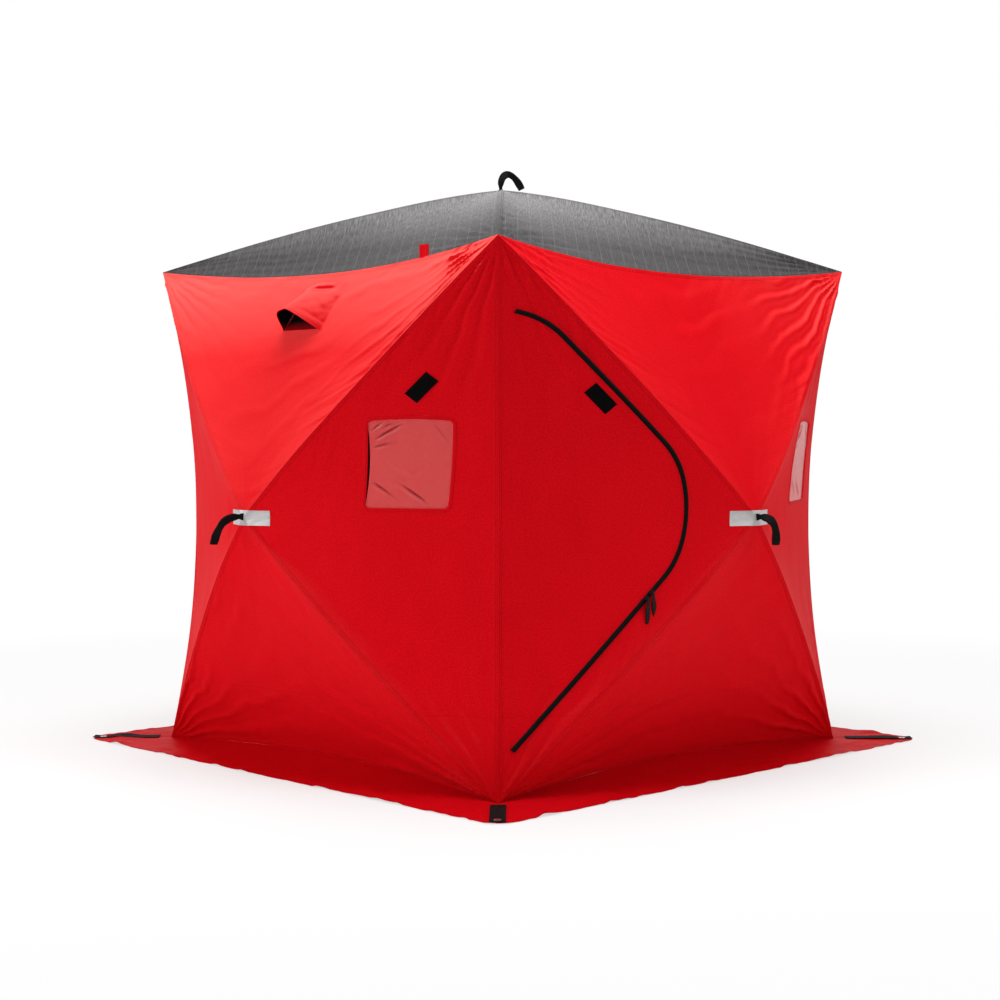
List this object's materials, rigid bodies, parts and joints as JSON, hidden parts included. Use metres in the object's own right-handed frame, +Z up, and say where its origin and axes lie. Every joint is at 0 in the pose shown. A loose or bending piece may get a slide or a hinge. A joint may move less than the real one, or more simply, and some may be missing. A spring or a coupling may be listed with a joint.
{
  "type": "ice fishing hut",
  "caption": "Pop-up ice fishing hut: a red cloth shelter sprung tight by a pole hub in each wall and the roof, with a zipped D-shaped door.",
  "frame": {"origin": "on the ground under the middle of the hut", "axes": "+Z up; the wall with the door faces -Y; the wall with the vent and the near window faces -X"},
  "size_m": [2.564, 2.564, 2.1409],
  "materials": {
    "wall_cloth": "coated woven polyester, insulated",
    "roof_cloth": "coated ripstop polyester",
    "skirt_cloth": "coated woven polyester",
    "webbing": "woven webbing",
    "reflective_tape": "reflective tape",
    "clear_vinyl": "clear vinyl",
    "pole_fibreglass": "fibreglass rod",
    "hub_plastic": "moulded nylon",
    "zipper_tape": "zipper tape",
    "hook_and_loop": "hook and loop tape",
    "grommet_metal": "plated"
  },
  "bodies": {
    "shelter": {"anchor_grommets": "grommet_metal", "back_panel_bottom": "wall_cloth", "back_panel_left": "wall_cloth", "back_panel_right": "wall_cloth", "back_panel_top": "wall_cloth", "back_poles": "pole_fibreglass", "back_skirt": "skirt_cloth", "corner_anchor_straps": "webbing", "doorway_zipper": "zipper_tape", "front_hinge_strip": "wall_cloth", "front_panel_bottom": "wall_cloth", "front_panel_over_door": "wall_cloth", "front_panel_right": "wall_cloth", "front_panel_top": "wall_cloth", "front_panel_under_door": "wall_cloth", "front_poles": "pole_fibreglass", "front_skirt": "skirt_cloth", "left_panel_back": "wall_cloth", "left_panel_bottom": "wall_cloth", "left_panel_front": "wall_cloth", "left_panel_top": "wall_cloth", "left_poles": "pole_fibreglass", "left_skirt": "skirt_cloth", "lower_corner_sockets": "hub_plastic", "reflective_strips": "reflective_tape", "right_panel_back": "wall_cloth", "right_panel_bottom": "wall_cloth", "right_panel_front": "wall_cloth", "right_panel_top": "wall_cloth", "right_poles": "pole_fibreglass", "right_skirt": "skirt_cloth", "roof_edge_tabs": "wall_cloth", "roof_hub": "hub_plastic", "roof_panel_back": "roof_cloth", "roof_panel_front": "roof_cloth", "roof_panel_left": "roof_cloth", "roof_panel_right": "roof_cloth", "roof_poles": "pole_fibreglass", "roof_pull_strap": "webbing", "upper_corner_sockets": "hub_plastic", "vent_hoods": "wall_cloth", "wall_hook_patch": "hook_and_loop", "wall_hubs": "hub_plastic", "wall_pull_straps": "webbing", "window_covers": "wall_cloth", "window_panes": "clear_vinyl"},
    "door": {"door_flap": "wall_cloth", "door_zipper": "zipper_tape", "door_hook_patch": "hook_and_loop", "zipper_pulls": "zipper_tape"}
  },
  "joints": [
    {"name": "door_hinge", "type": "hinge", "parent": "shelter", "child": "door", "pos_m": [-0.842, -0.914, 0.84], "axis": [0, 0, -1], "range_deg": [0, 220]}
  ]
}
